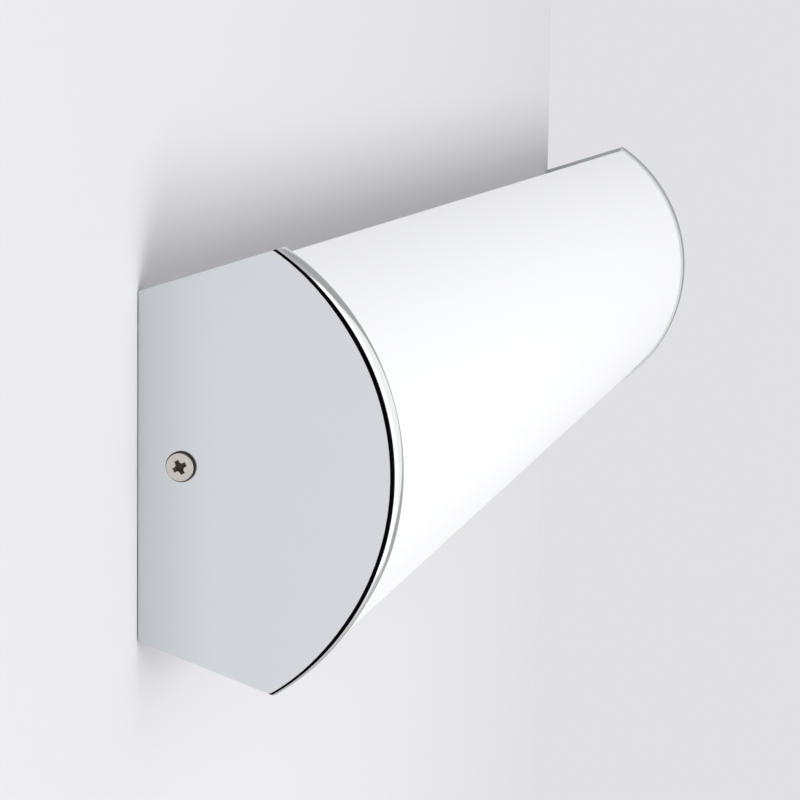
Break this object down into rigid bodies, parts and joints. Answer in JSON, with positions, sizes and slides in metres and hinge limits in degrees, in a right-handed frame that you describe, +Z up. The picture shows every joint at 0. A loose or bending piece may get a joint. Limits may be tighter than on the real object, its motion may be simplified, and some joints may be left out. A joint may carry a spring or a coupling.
{
  "type": "bathroom wall light",
  "caption": "Bathroom wall light: an opal arc diffuser that slides along a wall channel over a tube lamp on a gear tray, closed by pressed end caps held by screws.",
  "frame": {"origin": "middle of the channel's back face, on the wall", "axes": "+X along the light to the right of someone who faces the wall, +Y into the wall, +Z up"},
  "size_m": [0.6028, 0.0652, 0.11],
  "materials": {
    "polished_chrome": "bright chrome on pressed sheet",
    "opal_plastic": "satin opal acrylic",
    "nickel_steel": "nickel-plated, turned",
    "black_rubber": "matt moulded rubber",
    "foam_rubber": "closed-cell foam strip",
    "white_sheet": "white powder coat",
    "gloss_white_sheet": "gloss white reflector paint",
    "zinc_steel": "zinc-plated",
    "brass": "bright",
    "white_plastic": "moulded",
    "black_plastic": "moulded",
    "circuit_board": "laminate",
    "lamp_glass": "white-coated glass tube",
    "lamp_aluminium": "satin",
    "brown_insulation": "insulation",
    "blue_insulation": "insulation",
    "green_insulation": "green and yellow insulation",
    "white_insulation": "insulation"
  },
  "bodies": {
    "base": {"back_channel": "white_sheet", "clinch_nut_left": "zinc_steel", "clinch_nut_right": "zinc_steel", "cable_grommet": "black_rubber", "cable_clamp": "white_plastic", "cable_clamp_screws": "zinc_steel", "terminal_block": "white_plastic", "terminal_sleeves": "brass", "terminal_screws": "zinc_steel", "terminal_block_screws": "zinc_steel", "earth_stud": "zinc_steel", "earth_ring": "brass", "earth_washer": "zinc_steel", "earth_nut": "zinc_steel", "tray_posts": "zinc_steel", "gear_tray": "gloss_white_sheet", "tray_screws": "zinc_steel", "ballast_base": "zinc_steel", "ballast_cover": "gloss_white_sheet", "ballast_board": "circuit_board", "ballast_parts": "black_plastic", "ballast_connectors": "white_plastic", "ballast_screws": "zinc_steel", "lampholder_left": "white_plastic", "lampholder_right": "white_plastic", "lampholder_contacts": "brass", "live_lead": "brown_insulation", "neutral_lead": "blue_insulation", "earth_lead": "green_insulation", "lamp_leads_right": "white_insulation", "lamp_leads_left": "white_insulation"},
    "left_cap": {"end_cap_left": "polished_chrome", "cap_gasket_left": "foam_rubber"},
    "left_washer": {"screw_washer_left": "nickel_steel"},
    "left_screw": {"cap_screw_left": "nickel_steel"},
    "diffuser": {"diffuser": "opal_plastic"},
    "right_cap": {"end_cap_right": "polished_chrome", "cap_gasket_right": "foam_rubber"},
    "right_washer": {"screw_washer_right": "nickel_steel"},
    "right_screw": {"cap_screw_right": "nickel_steel"},
    "lamp": {"lamp_tube": "lamp_glass", "lamp_caps": "lamp_aluminium", "lamp_pins": "brass", "rotor_left": "white_plastic", "rotor_right": "white_plastic"}
  },
  "joints": [
    {"name": "left_cap_slide", "type": "slide", "parent": "base", "child": "left_cap", "axis": [-1, 0, 0], "range_m": [0, 0.04]},
    {"name": "left_washer_slide", "type": "slide", "parent": "left_cap", "child": "left_washer", "axis": [-1, 0, 0], "range_m": [0, 0.0084]},
    {"name": "left_screw_turn", "type": "hinge", "parent": "left_washer", "child": "left_screw", "pos_m": [-0.3, -0.011, 0.0009], "axis": [-1, 0, 0], "range_deg": [0, 4321]},
    {"name": "diffuser_slide", "type": "slide", "parent": "base", "child": "diffuser", "axis": [1, 0, 0], "range_m": [0, 0.59]},
    {"name": "right_cap_slide", "type": "slide", "parent": "diffuser", "child": "right_cap", "axis": [1, 0, 0], "range_m": [0, 0.04]},
    {"name": "right_washer_slide", "type": "slide", "parent": "right_cap", "child": "right_washer", "axis": [1, 0, 0], "range_m": [0, 0.0084]},
    {"name": "right_screw_turn", "type": "hinge", "parent": "right_washer", "child": "right_screw", "pos_m": [0.3, -0.011, 0.0009], "axis": [1, 0, 0], "range_deg": [0, 4321]},
    {"name": "lamp_turn", "type": "hinge", "parent": "base", "child": "lamp", "pos_m": [0, -0.042, 0], "axis": [1, 0, 0], "range_deg": [0, 90]}
  ],
  "couplings": [
    {"joint": "left_screw_turn", "follows": "left_washer_slide", "rad_per_m": 8976},
    {"joint": "right_screw_turn", "follows": "right_washer_slide", "rad_per_m": 8976}
  ]
}
